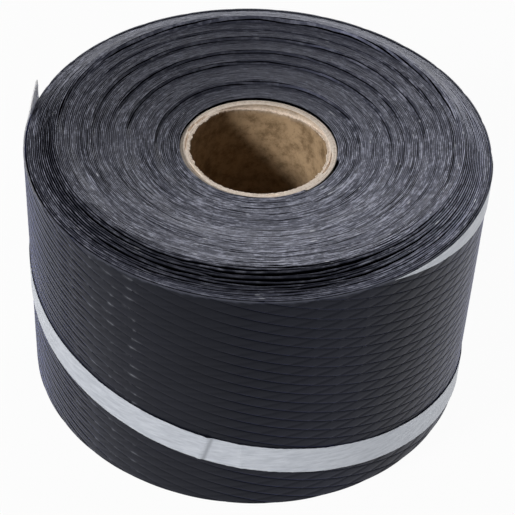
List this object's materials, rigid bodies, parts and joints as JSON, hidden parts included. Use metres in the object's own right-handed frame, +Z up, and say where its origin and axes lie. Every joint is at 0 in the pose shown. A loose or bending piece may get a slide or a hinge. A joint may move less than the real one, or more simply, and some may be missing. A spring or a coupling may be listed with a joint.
{
  "type": "roll of damp proof course",
  "caption": "Upright roll of black embossed polythene damp proof course, wound on a cardboard core tube and bound with a helix of pale tape.",
  "frame": {"origin": "centre of the roll's underside, on the core's axis at floor level", "axes": "+Z up along the core's axis; -Y is the side the picture was taken from, +X its right"},
  "size_m": [0.1654, 0.1654, 0.1053],
  "materials": {
    "embossed_polythene": "black polythene with an embossed diamond pattern, satin",
    "core_board": "spiral-wound kraft board, matt, with a rough cut end",
    "tape_film": "pale grey plastic tape, satin"
  },
  "bodies": {
    "root": {"wound_strip": "embossed_polythene", "core_tube": "core_board", "binding_tape": "tape_film"}
  },
  "joints": []
}
